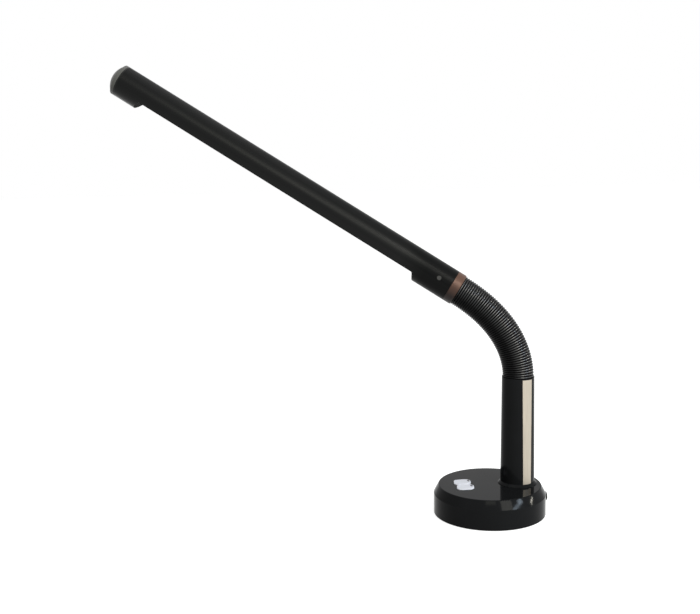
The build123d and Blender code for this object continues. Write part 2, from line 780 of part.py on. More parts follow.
def lead(points, corner):
    """A round lead along straight runs joined by arcs."""
    path = FilletPolyline(*points, radius=corner)
    start = Plane(path @ 0, z_dir=path % 0)
    return sweep(start * Circle(lead_radius), path=path)


def neck_lead():
    """The lead's stretch inside the core, which bends with the neck."""
    return tube_along([(neck_length * i / link_count, lead_radius) for i in range(link_count + 1)])


def head_lead():
    """The lead's stretch from the neck's end through the ferrule to the LED board."""
    start, _ = window_ends()
    return in_head(disc(lead_radius, start - clear))


def all_parts():
    """Every sub-part by its name."""
    parts = {
        "base_cover": base_cover(),
        "base_plate": base_plate(),
        "base_pad": base_pad(),
        "ballast": ballast(),
        "base_screws": base_screws(),
        "control_board": control_board(),
        "board_components": board_components(),
        "board_screws": board_screws(),
        "tact_switches": tact_switches(),
        "key_far": key_cap(1),
        "key_near": key_cap(-1),
        "plunger_far": plunger(1),
        "plunger_near": plunger(-1),
        "dc_inlet": dc_inlet(),
        "inlet_nut": inlet_nut(),
        "inlet_lead": inlet_lead(),
        "column": column(),
        "trim_strip": trim_strip(),
        "column_cap": column_cap(),
        "neck_post": neck_post(),
        "post_washer": post_washer(),
        "post_nut": post_nut(),
        "column_lead": column_lead(),
        "lower_ferrule": lower_ferrule(),
        "neck_sleeve": neck_sleeve(),
        "neck_lead": neck_lead(),
        "neck_ring": neck_ring(),
        "upper_ferrule": upper_ferrule(),
        "head_socket": head_socket(),
        "head_housing": head_housing(),
        "head_screws": head_screws(),
        "head_cap": head_cap(),
        "diffuser": diffuser(),
        "led_carrier": led_carrier(),
        "led_board": led_board(),
        "leds": leds(),
        "head_lead": head_lead(),
    }
    for i in range(link_count - 1):
        parts[f"core_{i + 1:02d}"] = core_section(i)
    return parts


def main():
    """Writes one STEP file for each sub-part."""
    os.makedirs("parts", exist_ok=True)
    for name, shape in all_parts().items():
        export_step(shape, f"parts/{name}.step")


main()
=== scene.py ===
import math

import bmesh
import bpy
import numpy as np
from mathutils import Matrix, Vector


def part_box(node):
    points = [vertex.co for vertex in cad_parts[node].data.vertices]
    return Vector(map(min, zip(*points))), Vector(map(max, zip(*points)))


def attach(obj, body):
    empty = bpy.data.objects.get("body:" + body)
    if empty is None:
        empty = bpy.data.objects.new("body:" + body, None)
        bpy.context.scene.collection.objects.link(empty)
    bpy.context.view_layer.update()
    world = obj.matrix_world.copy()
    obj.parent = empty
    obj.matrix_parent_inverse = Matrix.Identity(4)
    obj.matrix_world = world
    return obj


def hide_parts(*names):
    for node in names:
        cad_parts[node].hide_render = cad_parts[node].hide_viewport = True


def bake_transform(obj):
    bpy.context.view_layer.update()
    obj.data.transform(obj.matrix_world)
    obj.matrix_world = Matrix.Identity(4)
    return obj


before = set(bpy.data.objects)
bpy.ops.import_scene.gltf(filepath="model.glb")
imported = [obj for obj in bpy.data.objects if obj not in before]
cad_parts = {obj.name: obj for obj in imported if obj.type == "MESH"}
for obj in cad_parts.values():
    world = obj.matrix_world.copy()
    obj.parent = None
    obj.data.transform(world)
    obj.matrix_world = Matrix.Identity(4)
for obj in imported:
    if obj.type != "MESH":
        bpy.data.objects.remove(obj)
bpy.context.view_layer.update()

# ---------------------------------------------------------------- camera
# A long lens 0.4 m above the table, looking a little down on the lamp from the front left of its base.
camera_place = (-0.26207, -1.1185, 0.41316)
camera_heading = -5.82
camera_dip = 9.295
camera_roll = -0.955
camera_data = bpy.data.cameras.new("camera")
camera_data.lens = 56.57
camera_data.sensor_width = 36.0
camera = bpy.data.objects.new("camera", camera_data)
bpy.context.scene.collection.objects.link(camera)
camera.matrix_world = (
    Matrix.Translation(camera_place)
    @ Matrix.Rotation(math.radians(camera_heading), 4, "Z")
    @ Matrix.Rotation(math.radians(90 - camera_dip), 4, "X")
    @ Matrix.Rotation(math.radians(camera_roll), 4, "Z")
)
bpy.context.scene.camera = camera
bpy.context.scene.view_settings.view_transform = "Standard"

# ---------------------------------------------------------------- studio
# A white table in an even room: the camera sees white behind the lamp, and a dimmer room lights it.
# One broad lamp hangs overhead, and five windows stand where the desk lamp's gloss mirrors them.
room_light = 0.34
room_white = 1.0
world = bpy.data.worlds.new("room")
bpy.context.scene.world = world
world.use_nodes = True
room = world.node_tree
room.nodes.clear()
rays = room.nodes.new("ShaderNodeLightPath")
strength = room.nodes.new("ShaderNodeMapRange")
strength.inputs["To Min"].default_value = room_light
strength.inputs["To Max"].default_value = room_white
sky = room.nodes.new("ShaderNodeBackground")
sky.inputs["Color"].default_value = (1.0, 1.0, 1.0, 1.0)
room_out = room.nodes.new("ShaderNodeOutputWorld")


def reckon(tree, operation, first, second, clamp=False):
    """The result of a Math node on two values, each a number or a socket. clamp keeps it from zero to
    one."""
    node = tree.nodes.new("ShaderNodeMath")
    node.operation = operation
    node.use_clamp = clamp
    for socket, value in zip(node.inputs, (first, second)):
        if isinstance(value, bpy.types.NodeSocket):
            tree.links.new(value, socket)
        else:
            socket.default_value = value
    return node.outputs[0]


def seen_directly(tree, light_path):
    """One where a ray from the camera, a reflection or through glass meets the surface, otherwise zero."""
    ray = light_path.outputs
    first = reckon(tree, "MAXIMUM", ray["Is Camera Ray"], ray["Is Glossy Ray"])
    return reckon(tree, "MAXIMUM", first, ray["Is Transmission Ray"])


room.links.new(seen_directly(room, rays), strength.inputs["Value"])
room.links.new(strength.outputs[0], sky.inputs["Strength"])
room.links.new(sky.outputs[0], room_out.inputs[0])


def softbox(name, place, aim, width, height, watts, colour=(1.0, 1.0, 1.0)):
    """A rectangular lamp at place whose face, width by height, points at aim."""
    light = bpy.data.lights.new(name, "AREA")
    light.shape = "RECTANGLE"
    light.size = width
    light.size_y = height
    light.energy = watts
    light.color = colour
    lamp = bpy.data.objects.new(name, light)
    bpy.context.scene.collection.objects.link(lamp)
    back = Vector(place) - Vector(aim)
    lamp.matrix_world = Matrix.Translation(place) @ back.to_track_quat("Z", "Y").to_matrix().to_4x4()


softbox("overhead", (-0.2, 0.3, 2.0), (-0.1, 0.0, 0.25), 1.8, 1.4, 6.0)
softbox("tall window", (0.76, -1.6, 1.12), (0.0, 0.0, 0.22), 0.75, 1.3, 34.0, (1.0, 0.99, 0.9))
softbox("front window", (-0.29, -1.56, 1.53), (-0.1, 0.0, 0.3), 0.7, 0.45, 4.5, (1.0, 1.0, 0.86))
softbox("blue window", (1.40, -1.16, 0.98), (0.02, -0.06, 0.02), 0.9, 0.09, 12.0, (0.72, 0.86, 1.0))
softbox("blue window head", (1.55, -1.00, 1.09), (0.02, -0.06, 0.02), 0.34, 0.1, 5.5, (0.72, 0.86, 1.0))
softbox("warm window", (1.94, -0.16, 0.66), (0.03, -0.05, 0.02), 0.35, 0.05, 7.0, (1.0, 0.95, 0.84))

floor_reach = 6.0
floor_drop = 0.0004
floor_grey = 0.55
floor_glow = 0.8
floor_corners = [
    (x * floor_reach, y * floor_reach, -floor_drop) for x, y in ((-1, -1), (1, -1), (1, 1), (-1, 1))
]
floor_mesh = bpy.data.meshes.new("floor")
floor_mesh.from_pydata(floor_corners, [], [(0, 1, 2, 3)])
floor = bpy.data.objects.new("floor", floor_mesh)
bpy.context.scene.collection.objects.link(floor)
floor_paint = bpy.data.materials.new("white table")
floor_paint.use_nodes = True
paint = floor_paint.node_tree
table_top = paint.nodes["Principled BSDF"]
table_top.inputs["Base Color"].default_value = (floor_grey, floor_grey, floor_grey, 1.0)
table_top.inputs["Roughness"].default_value = 0.9
table_top.inputs["Specular IOR Level"].default_value = 0.1
table_top.inputs["Emission Color"].default_value = (1.0, 1.0, 1.0, 1.0)
floor_seen = seen_directly(paint, paint.nodes.new("ShaderNodeLightPath"))
paint.links.new(reckon(paint, "MULTIPLY", floor_seen, floor_glow), table_top.inputs["Emission Strength"])
floor_mesh.materials.append(floor_paint)

# ---------------------------------------------------------------- base cover and column: black gloss plastic
# The cover, the column's tube and its cap are injection-moulded in black plastic with a polished face.
# The polish has a faint waviness from the mould and is slightly duller in soft patches. The inlet's
# moulding is of the same plastic.


def new_group(name, inputs, outputs):
    """An empty shader group with named sockets, given as (name, kind, value) and (name, kind)."""
    group = bpy.data.node_groups.new(name, "ShaderNodeTree")
    for title, kind, value in inputs:
        socket = group.interface.new_socket(title, in_out="INPUT", socket_type=kind)
        socket.default_value = value
    for title, kind in outputs:
        group.interface.new_socket(title, in_out="OUTPUT", socket_type=kind)
    return group, group.nodes.new("NodeGroupInput"), group.nodes.new("NodeGroupOutput")


skin_outputs = [
    ("Colour", "NodeSocketColor"),
    ("Roughness", "NodeSocketFloat"),
    ("Normal", "NodeSocketVector"),
]


def lay_skin(group, given, made, amount, spread, height, depth):
    """Ends a skin's group. Colour and roughness are multiplied by 1 + amount (spread - 0.5), and the
    relief is height times depth, at the strength Relief."""
    drift = reckon(group, "MULTIPLY", reckon(group, "SUBTRACT", spread, 0.5), given.outputs[amount])
    share = reckon(group, "ADD", drift, 1.0)
    rough = reckon(group, "MULTIPLY", given.outputs["Roughness"], share, clamp=True)
    tint = group.nodes.new("ShaderNodeVectorMath")
    tint.operation = "SCALE"
    bump = group.nodes.new("ShaderNodeBump")
    bump.inputs["Distance"].default_value = depth
    link = group.links.new
    link(given.outputs["Colour"], tint.inputs[0])
    link(share, tint.inputs["Scale"])
    link(height, bump.inputs["Height"])
    link(given.outputs["Relief"], bump.inputs["Strength"])
    link(tint.outputs[0], made.inputs["Colour"])
    link(rough, made.inputs["Roughness"])
    link(bump.outputs["Normal"], made.inputs["Normal"])


def moulded_skin_group(patches_per_metre=38.0, depth=0.0002):
    """Moulded face: colour and roughness drift in soft patches, and a fine relief tilts the normal."""
    group, given, made = new_group(
        "moulded skin",
        [
            ("Colour", "NodeSocketColor", (0.5, 0.5, 0.5, 1.0)),
            ("Roughness", "NodeSocketFloat", 0.2),
            ("Patches", "NodeSocketFloat", 0.3),
            ("Grain per metre", "NodeSocketFloat", 900.0),
            ("Relief", "NodeSocketFloat", 0.1),
        ],
        skin_outputs,
    )
    place = group.nodes.new("ShaderNodeTexCoord")
    patches = group.nodes.new("ShaderNodeTexNoise")
    patches.inputs["Scale"].default_value = patches_per_metre
    patches.inputs["Detail"].default_value = 5.0
    grain = group.nodes.new("ShaderNodeTexNoise")
    grain.inputs["Detail"].default_value = 3.0
    group.links.new(place.outputs["Object"], patches.inputs["Vector"])
    group.links.new(place.outputs["Object"], grain.inputs["Vector"])
    group.links.new(given.outputs["Grain per metre"], grain.inputs["Scale"])
    lay_skin(group, given, made, "Patches", patches.outputs["Fac"], grain.outputs["Fac"], depth)
    return group


moulded_skin = moulded_skin_group()


def place_group(tree, group, values):
    """Puts a group into a material with its own values, and gives its outputs."""
    effect = tree.nodes.new("ShaderNodeGroup")
    effect.node_tree = group
    for title, value in values.items():
        effect.inputs[title].default_value = value
    return effect.outputs


def finish_from(group, name, values, metallic=0.0, specular=0.5):
    """A material whose colour, roughness and normal come from a group placed with its own values."""
    material = bpy.data.materials.new(name)
    material.use_nodes = True
    tree = material.node_tree
    shader = tree.nodes["Principled BSDF"]
    shader.inputs["Metallic"].default_value = metallic
    shader.inputs["Specular IOR Level"].default_value = specular
    skin = place_group(tree, group, values)
    tree.links.new(skin["Colour"], shader.inputs["Base Color"])
    tree.links.new(skin["Roughness"], shader.inputs["Roughness"])
    tree.links.new(skin["Normal"], shader.inputs["Normal"])
    return material


def dress(material, *nodes):
    """Gives CAD nodes their material."""
    for node in nodes:
        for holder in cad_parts[node].material_slots:
            holder.material = material


black_gloss = finish_from(
    moulded_skin,
    "black gloss plastic",
    {
        "Colour": (0.0072, 0.0075, 0.0082, 1.0),
        "Roughness": 0.1,
        "Patches": 0.5,
        "Grain per metre": 260.0,
        "Relief": 0.02,
    },
    specular=0.035,
)
dress(black_gloss, "base_cover", "column", "column_cap", "dc_inlet")

# ---------------------------------------------------------------- keys
# Two white keys, moulded in opaque plastic with a silky face. Each carries a small dark oval, ink
# laid in a shallow recess near its rear end.
key_white = finish_from(
    moulded_skin,
    "key plastic",
    {
        "Colour": (0.6, 0.61, 0.68, 1.0),
        "Roughness": 0.3,
        "Patches": 0.12,
        "Grain per metre": 2200.0,
        "Relief": 0.06,
    },
)
dress(key_white, "key_far", "key_near")
key_ink = finish_from(
    moulded_skin,
    "key ink",
    {
        "Colour": (0.02, 0.02, 0.03, 1.0),
        "Roughness": 0.35,
        "Patches": 0.2,
        "Grain per metre": 3000.0,
        "Relief": 0.1,
    },
)


def slug_mesh(name, radius, reach, low, high, x, y, rim=0.0001, around=40):
    """A flat oval slug: ovals of half length r / 2, r - rim, r, r, r / 2 along X at the heights high, high,
    high - rim, low, low. Each is reach / radius times as wide along Y."""
    radii = np.array([radius * 0.5, radius - rim, radius, radius, radius * 0.5])
    heights = np.array([high, high, high - rim, low, low])
    turn = np.linspace(0, 2 * np.pi, around, endpoint=False)
    ring_x = x + radii[:, None] * np.cos(turn)
    ring_y = y + radii[:, None] * np.sin(turn) * reach / radius
    ring_z = np.repeat(heights[:, None], around, axis=1)
    points = np.stack([ring_x, ring_y, ring_z], axis=2).reshape(-1, 3)
    index = np.arange(len(radii) * around).reshape(len(radii), around)
    following = np.roll(index, -1, axis=1)
    quads = np.stack([index[:-1], index[1:], following[1:], following[:-1]], axis=2).reshape(-1, 4)
    mesh = bpy.data.meshes.new(name)
    mesh.from_pydata(points.tolist(), [], quads.tolist() + [index[0].tolist(), index[-1][::-1].tolist()])
    return mesh


def add_piece(name, mesh, material, sharp=40.0):
    """Puts a mesh into the scene with its faces turned outwards, smooth except at edges sharper than an
    angle in degrees."""
    turned = bmesh.new()
    turned.from_mesh(mesh)
    bmesh.ops.recalc_face_normals(turned, faces=turned.faces)
    turned.to_mesh(mesh)
    turned.free()
    mesh.shade_smooth()
    mesh.set_sharp_from_angle(angle=math.radians(sharp))
    mesh.materials.append(material)
    piece = bpy.data.objects.new(name, mesh)
    bpy.context.scene.collection.objects.link(piece)
    return piece


mark_half_length = 0.0013
mark_half_width = 0.0027
mark_x = -0.0212
mark_apart = 0.0084
mark_shift = 0.0022
key_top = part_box("key_far")[1].z
mark_low = key_top - 0.0005
mark_high = key_top - 0.0001
for key, side in (("key_far", 1), ("key_near", -1)):
    place = (mark_x, side * mark_apart + mark_shift)
    oval = slug_mesh(key + "_dot", mark_half_length, mark_half_width, mark_low, mark_high, *place)
    spot = add_piece(key + "_dot", oval, key_ink)
    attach(spot, key)

# ---------------------------------------------------------------- trim strip
# A strip of thin champagne-coloured metal, brushed along its length and glued into a shallow bed in
# the column's side. Its pale colour is a painted reflection of a bright window in the black column.


def brushed_group(flattened=0.984, depth=0.00005):
    """Drawn or brushed face: long thin streaks along a direction, in colour, roughness and relief. The
    noise is read at p - 0.984 (p . a) a, so along the direction a it is stretched 62.5 to 1."""
    group, given, made = new_group(
        "brushed",
        [
            ("Colour", "NodeSocketColor", (0.5, 0.5, 0.5, 1.0)),
            ("Roughness", "NodeSocketFloat", 0.35),
            ("Scratches", "NodeSocketFloat", 0.25),
            ("Lines per metre", "NodeSocketFloat", 2600.0),
            ("Relief", "NodeSocketFloat", 0.1),
            ("Along", "NodeSocketVector", (0.0, 0.0, 1.0)),
        ],
        skin_outputs,
    )
    place = group.nodes.new("ShaderNodeTexCoord")
    length = group.nodes.new("ShaderNodeVectorMath")
    length.operation = "DOT_PRODUCT"
    run = group.nodes.new("ShaderNodeVectorMath")
    run.operation = "SCALE"
    stretch = group.nodes.new("ShaderNodeVectorMath")
    stretch.operation = "SUBTRACT"
    lines = group.nodes.new("ShaderNodeTexNoise")
    lines.inputs["Detail"].default_value = 4.0
    taken = reckon(group, "MULTIPLY", length.outputs["Value"], flattened)
    link = group.links.new
    link(place.outputs["Object"], length.inputs[0])
    link(given.outputs["Along"], length.inputs[1])
    link(given.outputs["Along"], run.inputs[0])
    link(taken, run.inputs["Scale"])
    link(place.outputs["Object"], stretch.inputs[0])
    link(run.outputs[0], stretch.inputs[1])
    link(stretch.outputs[0], lines.inputs["Vector"])
    link(given.outputs["Lines per metre"], lines.inputs["Scale"])
    lay_skin(group, given, made, "Scratches", lines.outputs["Fac"], lines.outputs["Fac"], depth)
    return group


brushed = brushed_group()
# The strip's pale colour is a painted reflection of a window mirrored in the column.
champagne = finish_from(
    brushed,
    "champagne painted reflection",
    {
        "Colour": (0.38, 0.333, 0.275, 1.0),
        "Roughness": 0.42,
        "Scratches": 0.5,
        "Lines per metre": 2600.0,
        "Relief": 0.15,
    },
    metallic=0.45,
)
dress(champagne, "trim_strip")

# ---------------------------------------------------------------- neck sleeve
# The ribbed sleeve is one length of soft black plastic hose, moulded with round ribs and sharp
# grooves, slipped over the wound steel core. Its crests are glossier on the outer flanks of its bend:
# that coat is a painted highlight on the side where the light falls.
# It and the lead in it are split into twelve stretches, one over each of the core's hinges.
neck_length = 0.1169
foot_bend_radius = 0.0738
head_bend_radius = 0.2641
neck_heading = math.radians(165.3)
neck_foot = np.array([0.0304, 0.0, 0.1488])
neck_samples = 4001
neck_chain = ["base"] + [f"neck_{i:02d}" for i in range(1, 12)] + ["head"]
rib_radius = 0.0165
rib_depth = 0.0015
rib_root = rib_radius - rib_depth
rib_count = 48
sleeve_bore = 0.0142
lead_radius = 0.0014


def neck_line(s):
    """Centreline at lengths s. The lean is a s + (b - a) s s / (2 L), so the curvature, one over the
    radius, runs evenly from a to b, and the place is the running sum of the lean's sine (ahead) and
    cosine (up). Gives the places, the inward directions across the bend, the sideways one and the
    tangents."""
    foot_bend = 1 / foot_bend_radius
    head_bend = 1 / head_bend_radius
    fine = np.linspace(0, neck_length, neck_samples)
    lean = foot_bend * fine + (head_bend - foot_bend) * fine**2 / (2 * neck_length)
    step = fine[1] - fine[0]
    ahead_run = np.concatenate([[0], np.cumsum((np.sin(lean[1:]) + np.sin(lean[:-1])) / 2) * step])
    rise_run = np.concatenate([[0], np.cumsum((np.cos(lean[1:]) + np.cos(lean[:-1])) / 2) * step])
    ahead = np.array([math.cos(neck_heading), math.sin(neck_heading), 0.0])
    up = np.array([0.0, 0.0, 1.0])
    s = np.asarray(s, float)
    far = np.interp(s, fine, ahead_run)[:, None]
    high = np.interp(s, fine, rise_run)[:, None]
    angle = np.interp(s, fine, lean)[:, None]
    centre = neck_foot + far * ahead + high * up
    inward = np.cos(angle) * ahead - np.sin(angle) * up
    tangent = np.sin(angle) * ahead + np.cos(angle) * up
    return centre, inward, np.cross(up, ahead), tangent


def tube_on_neck(name, lengths, radii, around, closed):
    """Rings of the given radii square to the centreline at the given lengths. closed joins the last
    ring to the first, as for a wall with an inside; otherwise both ends get a flat face."""
    centre, inward, side, _ = neck_line(lengths)
    turn = np.linspace(0, 2 * np.pi, around, endpoint=False)
    spoke = inward[:, None, :] * np.cos(turn)[None, :, None] + side * np.sin(turn)[None, :, None]
    points = (centre[:, None, :] + radii[:, None, None] * spoke).reshape(-1, 3)
    rings = len(lengths)
    index = np.arange(rings * around).reshape(rings, around)
    upper = np.roll(index, -1, axis=0) if closed else index[1:]
    lower = index if closed else index[:-1]
    quads = np.stack([lower, np.roll(lower, -1, axis=1), np.roll(upper, -1, axis=1), upper], axis=2)
    faces = quads.reshape(-1, 4).tolist()
    if not closed:
        faces += [index[0][::-1].tolist(), index[-1].tolist()]
    mesh = bpy.data.meshes.new(name)
    mesh.from_pydata(points.tolist(), [], faces)
    return mesh


def coat_crests_for_highlight(tube, radii, around):
    """Gives a tube's points the attribute polish: ((r - root) / depth)^10 times a band over the turn from
    the inside of the bend, which is one where the turn's cosine is -0.75 to -0.25, and falls to zero
    towards -1.05 and 0.25. It weighs a coat laid on as a painted highlight."""
    crest = np.clip((radii - rib_root) / rib_depth, 0.0, 1.0) ** 10
    turn = np.linspace(0, 2 * np.pi, around, endpoint=False)
    band = np.interp(np.cos(turn), (-1.05, -0.75, -0.25, 0.25), (0.0, 1.0, 1.0, 0.0))
    painted_highlight = tube.attributes.new("painted_highlight", "FLOAT", "POINT")
    painted_highlight.data.foreach_set("value", np.outer(crest, band).ravel())


def rib_profile(s):
    """Radius over the ribs: root + depth sin(pi u)^0.6, with u the place within a rib's pitch, from zero
    to one. The hair added to it keeps a pitch's start from rounding down into the rib before it."""
    hair = 1e-9
    u = np.mod(s * rib_count / neck_length + hair, 1.0)
    return rib_root + rib_depth * np.sin(np.pi * u) ** 0.6


def give_coat(material, weight, ior, roughness):
    """Gives a material a clear coat, whose weight comes from a socket."""
    shader = material.node_tree.nodes["Principled BSDF"]
    shader.inputs["Coat IOR"].default_value = ior
    shader.inputs["Coat Roughness"].default_value = roughness
    material.node_tree.links.new(weight, shader.inputs["Coat Weight"])


sleeve_black = finish_from(
    moulded_skin,
    "sleeve plastic",
    {
        "Colour": (0.004, 0.004, 0.0042, 1.0),
        "Roughness": 0.24,
        "Patches": 0.4,
        "Grain per metre": 1800.0,
        "Relief": 0.06,
    },
    specular=0.08,
)
# The crests' coat is a painted highlight, laid on the outer flanks of the bend.
crest_painted_highlight = sleeve_black.node_tree.nodes.new("ShaderNodeAttribute")
crest_painted_highlight.attribute_name = "painted_highlight"
give_coat(sleeve_black, crest_painted_highlight.outputs["Fac"], ior=1.62, roughness=0.24)
lead_black = finish_from(
    moulded_skin,
    "lead insulation",
    {
        "Colour": (0.02, 0.02, 0.02, 1.0),
        "Roughness": 0.45,
        "Patches": 0.2,
        "Grain per metre": 1500.0,
        "Relief": 0.1,
    },
)
stretch_count = len(neck_chain) - 1
steps_per_rib = 12
plain_rings = 5
sleeve_around = 96
lead_around = 16
for k in range(stretch_count):
    low = neck_length * k / stretch_count
    high = neck_length * (k + 1) / stretch_count
    outer = np.linspace(low, high, rib_count // stretch_count * steps_per_rib + 1)
    ribs = rib_profile(outer)
    ribs[[0, -1]] = rib_root
    lengths = np.concatenate([outer, np.linspace(high, low, plain_rings)])
    radii = np.concatenate([ribs, np.full(plain_rings, sleeve_bore)])
    sleeve_name = f"neck_sleeve_{k + 1:02d}"
    hose = tube_on_neck(sleeve_name, lengths, radii, sleeve_around, closed=True)
    coat_crests_for_highlight(hose, radii, sleeve_around)
    sleeve = add_piece(sleeve_name, hose, sleeve_black, sharp=60.0)
    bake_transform(sleeve)
    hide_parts("neck_sleeve")
    lengths = np.linspace(low, high, plain_rings)
    radii = np.full(plain_rings, lead_radius)
    lead_name = f"neck_lead_{k + 1:02d}"
    jacket = tube_on_neck(lead_name, lengths, radii, lead_around, closed=False)
    wire = add_piece(lead_name, jacket, lead_black)
    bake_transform(wire)
    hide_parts("neck_lead")
dress(lead_black, "inlet_lead", "column_lead", "head_lead")

# ---------------------------------------------------------------- neck ring
# A turned ring in brown anodised metal, held between the sleeve and the head. Its brown darkens to
# near black on the inside of the neck's bend: painted shade on the side turned away from the light.
head_foot, head_inward, _, head_tangent = neck_line([neck_length])
# The near black is painted shade laid on the ring's underside, not a colour of the anodising.
ring_painted_shade = (0.014, 0.009, 0.008, 1.0)


def facing_towards_group():
    """How far a face looks towards a direction: (n . a - from) / (to - from), from zero to one."""
    group, given, made = new_group(
        "facing towards",
        [
            ("Along", "NodeSocketVector", (0.0, 0.0, 1.0)),
            ("From", "NodeSocketFloat", 0.0),
            ("To", "NodeSocketFloat", 1.0),
        ],
        [("Mask", "NodeSocketFloat")],
    )
    face = group.nodes.new("ShaderNodeTexCoord")
    share = group.nodes.new("ShaderNodeVectorMath")
    share.operation = "DOT_PRODUCT"
    ramp = group.nodes.new("ShaderNodeMapRange")
    group.links.new(face.outputs["Normal"], share.inputs[0])
    group.links.new(given.outputs["Along"], share.inputs[1])
    group.links.new(share.outputs["Value"], ramp.inputs["Value"])
    group.links.new(given.outputs["From"], ramp.inputs["From Min"])
    group.links.new(given.outputs["To"], ramp.inputs["From Max"])
    group.links.new(ramp.outputs[0], made.inputs["Mask"])
    return group


def change_where(material, mask_group, values, socket, second):
    """Gives a material's socket a second value where a mask group says one. A Mix node keeps numbers in
    sockets 2, 3 and 0 (first, second and mixed), and colours in 6, 7 and 2."""
    tree = material.node_tree
    mix = tree.nodes.new("ShaderNodeMix")
    if socket == "Base Color":
        mix.data_type = "RGBA"
        first_in, second_in, mixed = 6, 7, 2
    else:
        mix.data_type = "FLOAT"
        first_in, second_in, mixed = 2, 3, 0
    mix.inputs[second_in].default_value = second
    shader = tree.nodes["Principled BSDF"]
    first = shader.inputs[socket].links[0].from_socket
    tree.links.new(place_group(tree, mask_group, values)["Mask"], mix.inputs[0])
    tree.links.new(first, mix.inputs[first_in])
    tree.links.new(mix.outputs[mixed], shader.inputs[socket])


facing_towards = facing_towards_group()
bronze = finish_from(
    moulded_skin,
    "brown anodised ring",
    {
        "Colour": (0.092, 0.049, 0.035, 1.0),
        "Roughness": 0.38,
        "Patches": 0.25,
        "Grain per metre": 2500.0,
        "Relief": 0.15,
    },
    metallic=0.25,
    specular=0.2,
)
# The mask lays the painted shade on the inside of the bend.
ring_painted_shade_side = {"Along": tuple(head_inward[0]), "From": -0.5, "To": 0.45}
change_where(bronze, facing_towards, ring_painted_shade_side, "Base Color", ring_painted_shade)
dress(bronze, "neck_ring")

# ---------------------------------------------------------------- head
# The head's tube is extruded black plastic with faint drawing streaks and a soft sheen, its underside
# milled flat for the light, which leaves the ends of the cut dull. The domed end is a separate
# moulding: its band is as black as the tube, and the dome itself has a grey satin face. The starts of
# the dome and of the sheen are lengths along the head from the neck's end.
head_along = tuple(head_tangent[0])
foot_level = float(head_foot[0] @ head_tangent[0])
dome_start = 0.4246
sheen_start = 0.07
sheen_fade = 0.03
milled_roughness = 0.75
dome_grey = (0.085, 0.085, 0.08, 1.0)


def facing_along_group(low=0.3, high=0.6):
    """How far a face looks along a direction, either way: (|n . a| - low) / (high - low), from zero to
    one."""
    group, given, made = new_group(
        "facing along", [("Along", "NodeSocketVector", (0.0, 0.0, 1.0))], [("Mask", "NodeSocketFloat")]
    )
    face = group.nodes.new("ShaderNodeTexCoord")
    share = group.nodes.new("ShaderNodeVectorMath")
    share.operation = "DOT_PRODUCT"
    size = group.nodes.new("ShaderNodeMath")
    size.operation = "ABSOLUTE"
    ramp = group.nodes.new("ShaderNodeMapRange")
    ramp.inputs["From Min"].default_value = low
    ramp.inputs["From Max"].default_value = high
    group.links.new(face.outputs["Normal"], share.inputs[0])
    group.links.new(given.outputs["Along"], share.inputs[1])
    group.links.new(share.outputs["Value"], size.inputs[0])
    group.links.new(size.outputs[0], ramp.inputs["Value"])
    group.links.new(ramp.outputs[0], made.inputs["Mask"])
    return group


def beyond_group():
    """How far a point is past a start along a direction: (p . a - start) / fade, from zero to one."""
    group, given, made = new_group(
        "beyond",
        [
            ("Along", "NodeSocketVector", (0.0, 0.0, 1.0)),
            ("Start", "NodeSocketFloat", 0.0),
            ("Fade", "NodeSocketFloat", 0.0001),
        ],
        [("Mask", "NodeSocketFloat")],
    )
    place = group.nodes.new("ShaderNodeTexCoord")
    length = group.nodes.new("ShaderNodeVectorMath")
    length.operation = "DOT_PRODUCT"
    group.links.new(place.outputs["Object"], length.inputs[0])
    group.links.new(given.outputs["Along"], length.inputs[1])
    past = reckon(group, "SUBTRACT", length.outputs["Value"], given.outputs["Start"])
    share = reckon(group, "DIVIDE", past, given.outputs["Fade"], clamp=True)
    group.links.new(share, made.inputs["Mask"])
    return group


facing_along = facing_along_group()
beyond = beyond_group()
drawn_black = finish_from(
    brushed,
    "drawn black plastic",
    {
        "Colour": (0.0034, 0.0036, 0.0036, 1.0),
        "Roughness": 0.34,
        "Scratches": 0.7,
        "Lines per metre": 420.0,
        "Relief": 0.2,
        "Along": head_along,
    },
    specular=0.06,
)
milled_ends = {"Along": head_along}
change_where(drawn_black, facing_along, milled_ends, "Roughness", milled_roughness)

# The sheen is a coat, partly the tube's own gloss and partly a painted sheen. It is left off on the
# outside of the bend and near the neck as painted shade, and on the milled ends.
outside = {"Along": tuple(-head_inward[0]), "From": 0.5, "To": 0.95}
near_neck = {"Along": tuple(-head_tangent[0]), "Start": -(sheen_start + foot_level), "Fade": sheen_fade}
# Where the coat is taken away on the outside of the bend and near the neck is painted shade.
sheen = 1.0
for mask_group, values in ((facing_towards, outside), (beyond, near_neck), (facing_along, milled_ends)):
    mask = place_group(drawn_black.node_tree, mask_group, values)["Mask"]
    sheen = reckon(drawn_black.node_tree, "SUBTRACT", sheen, mask, clamp=True)
give_coat(drawn_black, sheen, ior=1.17, roughness=0.34)
dress(drawn_black, "head_housing")
dome_satin = finish_from(
    moulded_skin,
    "dome plastic",
    {
        "Colour": (0.004, 0.004, 0.0038, 1.0),
        "Roughness": 0.34,
        "Patches": 0.3,
        "Grain per metre": 1400.0,
        "Relief": 0.2,
    },
    specular=0.2,
)
past_band = {"Along": head_along, "Start": dome_start + foot_level}
change_where(dome_satin, beyond, past_band, "Base Color", dome_grey)
dress(dome_satin, "head_cap")
socket_black = finish_from(
    moulded_skin,
    "socket plastic",
    {
        "Colour": (0.02, 0.02, 0.02, 1.0),
        "Roughness": 0.5,
        "Patches": 0.2,
        "Grain per metre": 1200.0,
        "Relief": 0.2,
    },
)
dress(socket_black, "head_socket", "tact_switches", "board_components")

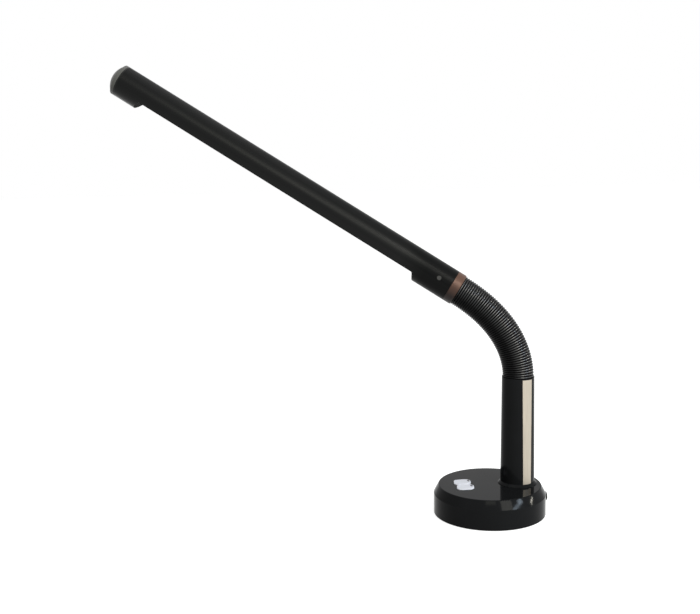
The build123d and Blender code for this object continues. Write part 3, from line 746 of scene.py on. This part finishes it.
# ---------------------------------------------------------------- light: diffuser, channel, board and LEDs
# The diffuser is milky acrylic. Behind it lies an aluminium channel with a white board and a row of
# small LED packages.
milky = finish_from(
    moulded_skin,
    "milky acrylic",
    {
        "Colour": (0.8, 0.8, 0.77, 1.0),
        "Roughness": 0.32,
        "Patches": 0.08,
        "Grain per metre": 2600.0,
        "Relief": 0.05,
    },
)
dress(milky, "diffuser")
raw_aluminium = finish_from(
    brushed,
    "raw aluminium",
    {
        "Colour": (0.7, 0.7, 0.72, 1.0),
        "Roughness": 0.38,
        "Scratches": 0.3,
        "Lines per metre": 1800.0,
        "Relief": 0.15,
        "Along": head_along,
    },
    metallic=1.0,
)
dress(raw_aluminium, "led_carrier")
board_white = finish_from(
    moulded_skin,
    "board lacquer white",
    {
        "Colour": (0.8, 0.8, 0.78, 1.0),
        "Roughness": 0.35,
        "Patches": 0.1,
        "Grain per metre": 1500.0,
        "Relief": 0.05,
    },
)
dress(board_white, "led_board")
phosphor = finish_from(
    moulded_skin,
    "phosphor yellow",
    {
        "Colour": (0.8, 0.6, 0.12, 1.0),
        "Roughness": 0.4,
        "Patches": 0.2,
        "Grain per metre": 3000.0,
        "Relief": 0.1,
    },
)
dress(phosphor, "leds")

# ---------------------------------------------------------------- steel parts
# The neck's core, its ferrules and its clamping post, the base's plate and the inlet's nut are bright
# steel. The screws in the base and the post's washer and nut are zinc-plated, and the head's two
# screws are blackened.
bright_steel = finish_from(
    brushed,
    "bright steel",
    {
        "Colour": (0.5, 0.5, 0.51, 1.0),
        "Roughness": 0.32,
        "Scratches": 0.4,
        "Lines per metre": 1500.0,
        "Relief": 0.2,
    },
    metallic=1.0,
)
dress(bright_steel, "lower_ferrule", "upper_ferrule", "neck_post", "base_plate", "inlet_nut")
dress(bright_steel, *[f"core_{i:02d}" for i in range(1, 12)])
zinc = finish_from(
    moulded_skin,
    "zinc plate",
    {
        "Colour": (0.55, 0.55, 0.53, 1.0),
        "Roughness": 0.3,
        "Patches": 0.5,
        "Grain per metre": 2200.0,
        "Relief": 0.15,
    },
    metallic=1.0,
)
dress(zinc, "base_screws", "board_screws", "post_washer", "post_nut")
blackened_steel = finish_from(
    moulded_skin,
    "blackened steel",
    {
        "Colour": (0.07, 0.07, 0.066, 1.0),
        "Roughness": 0.22,
        "Patches": 0.4,
        "Grain per metre": 2000.0,
        "Relief": 0.2,
    },
    metallic=1.0,
)
dress(blackened_steel, "head_screws")

# ---------------------------------------------------------------- base inside and underside
# A cast iron weight holds the base down, a green control board with grey plungers lies under the
# keys, and a soft black foam pad is stuck under the plate.
cast_iron = finish_from(
    moulded_skin,
    "cast iron",
    {
        "Colour": (0.06, 0.058, 0.055, 1.0),
        "Roughness": 0.62,
        "Patches": 0.6,
        "Grain per metre": 700.0,
        "Relief": 0.6,
    },
    metallic=0.6,
)
dress(cast_iron, "ballast")
board_green = finish_from(
    moulded_skin,
    "board lacquer green",
    {
        "Colour": (0.02, 0.14, 0.05, 1.0),
        "Roughness": 0.3,
        "Patches": 0.3,
        "Grain per metre": 900.0,
        "Relief": 0.15,
    },
)
dress(board_green, "control_board")
plunger_grey = finish_from(
    moulded_skin,
    "plunger plastic",
    {
        "Colour": (0.2, 0.2, 0.21, 1.0),
        "Roughness": 0.4,
        "Patches": 0.1,
        "Grain per metre": 2500.0,
        "Relief": 0.1,
    },
)
dress(plunger_grey, "plunger_far", "plunger_near")
pad_foam = finish_from(
    moulded_skin,
    "pad foam",
    {
        "Colour": (0.022, 0.022, 0.023, 1.0),
        "Roughness": 0.85,
        "Patches": 0.3,
        "Grain per metre": 1600.0,
        "Relief": 0.8,
    },
)
dress(pad_foam, "base_pad")
